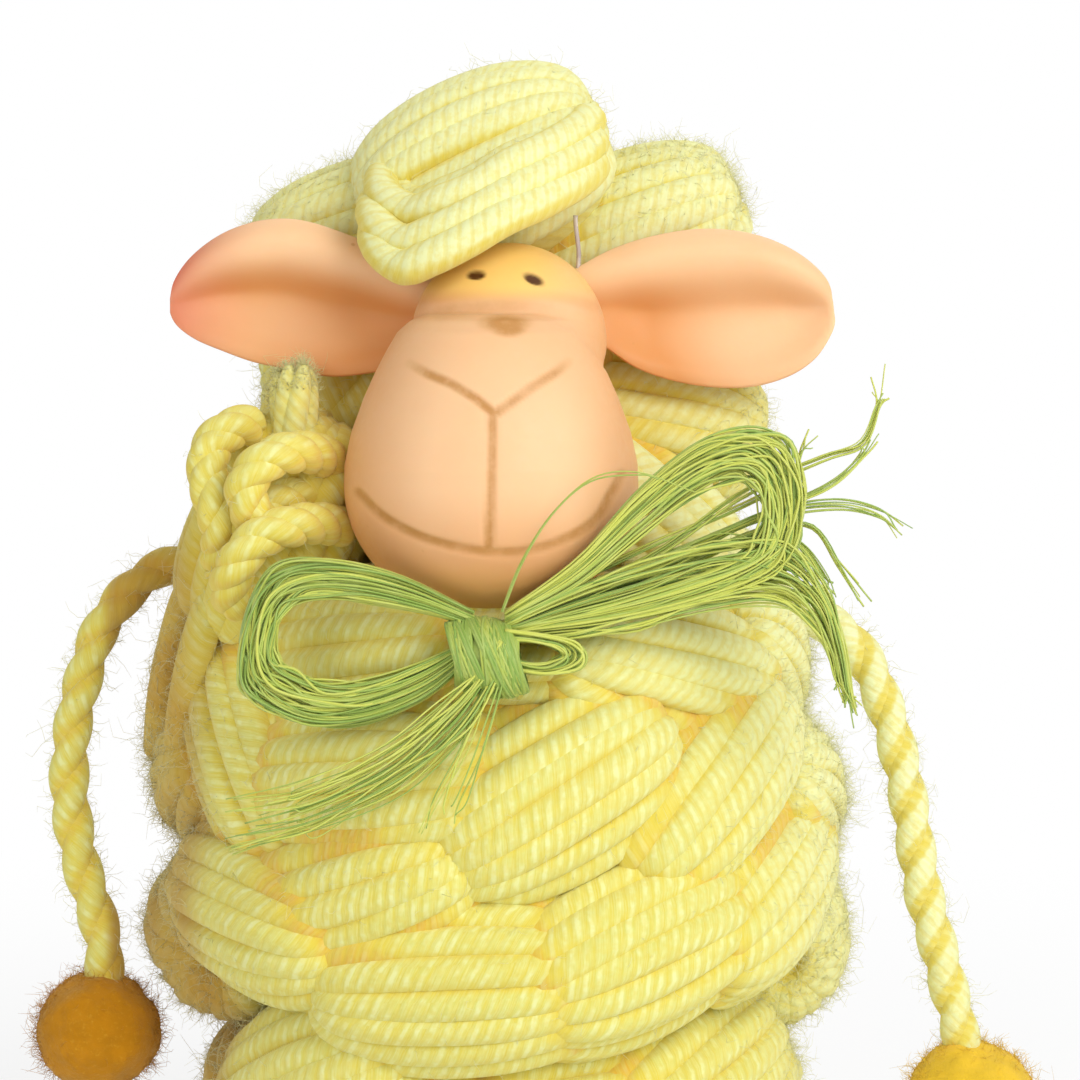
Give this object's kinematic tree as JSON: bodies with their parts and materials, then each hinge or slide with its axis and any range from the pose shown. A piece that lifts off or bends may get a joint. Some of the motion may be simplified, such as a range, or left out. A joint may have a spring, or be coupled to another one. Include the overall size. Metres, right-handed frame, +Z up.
{
  "type": "sheep figurine",
  "caption": "Standing craft sheep with a moulded face and ears, a fleece of yarn hanks, a fibre bow and swinging cord arms with felt balls.",
  "frame": {"origin": "centre of the flat base, on the floor", "axes": "+Z up, the figure faces -Y, +X is the right hand side for a viewer who faces it"},
  "size_m": [0.1604, 0.1048, 0.1862],
  "materials": {
    "yarn": "matte plied yarn",
    "clay": "satin glaze",
    "sisal": "dyed plant fibre",
    "felt_orange": "wool felt",
    "felt_gold": "wool felt",
    "stuffing": "firm stuffed cloth",
    "dowel": "plain",
    "thread": "clear thread"
  },
  "bodies": {
    "figure": {"body_core": "stuffing", "head_core": "stuffing", "neck_dowel": "dowel", "face": "clay", "ear_left": "clay", "ear_right": "clay", "bow_knot": "sisal", "bow_loop_left": "sisal", "bow_loop_right": "sisal", "bow_tail_left": "sisal", "bow_tail_right": "sisal", "yarn_stub": "yarn", "tie_thread": "thread", "collar_hank_1": "yarn", "collar_hank_2": "yarn", "collar_hank_3": "yarn", "collar_hank_4": "yarn", "collar_hank_5": "yarn", "collar_hank_6": "yarn", "collar_hank_7": "yarn", "collar_hank_8": "yarn", "chest_hank_1": "yarn", "chest_hank_2": "yarn", "chest_hank_3": "yarn", "chest_hank_4": "yarn", "chest_hank_5": "yarn", "chest_hank_6": "yarn", "chest_hank_7": "yarn", "chest_hank_8": "yarn", "chest_hank_9": "yarn", "belly_hank_1": "yarn", "belly_hank_2": "yarn", "belly_hank_3": "yarn", "belly_hank_4": "yarn", "belly_hank_5": "yarn", "belly_hank_6": "yarn", "belly_hank_7": "yarn", "belly_hank_8": "yarn", "belly_hank_9": "yarn", "hem_hank_1": "yarn", "hem_hank_2": "yarn", "hem_hank_3": "yarn", "hem_hank_4": "yarn", "hem_hank_5": "yarn", "hem_hank_6": "yarn", "hem_hank_7": "yarn", "hair_hank_top": "yarn", "hair_hank_left": "yarn", "hair_hank_right": "yarn", "cheek_hank_right": "yarn", "cheek_hank_left": "yarn", "shoulder_hank_left": "yarn", "shoulder_hank_right": "yarn", "hair_hank_crown": "yarn", "hair_hank_back_left": "yarn", "hair_hank_back_right": "yarn"},
    "arm_left": {"arm_left_cord": "yarn", "hand_left_ball": "felt_orange"},
    "arm_right": {"arm_right_cord": "yarn", "hand_right_ball": "felt_gold"}
  },
  "joints": [
    {"name": "arm_left_swing", "type": "hinge", "parent": "figure", "child": "arm_left", "pos_m": [-0.0425, -0.005, 0.1092], "axis": [1, 0, 0], "range_deg": [-40, 40]},
    {"name": "arm_right_swing", "type": "hinge", "parent": "figure", "child": "arm_right", "pos_m": [0.041, -0.005, 0.101], "axis": [1, 0, 0], "range_deg": [-40, 40]}
  ]
}
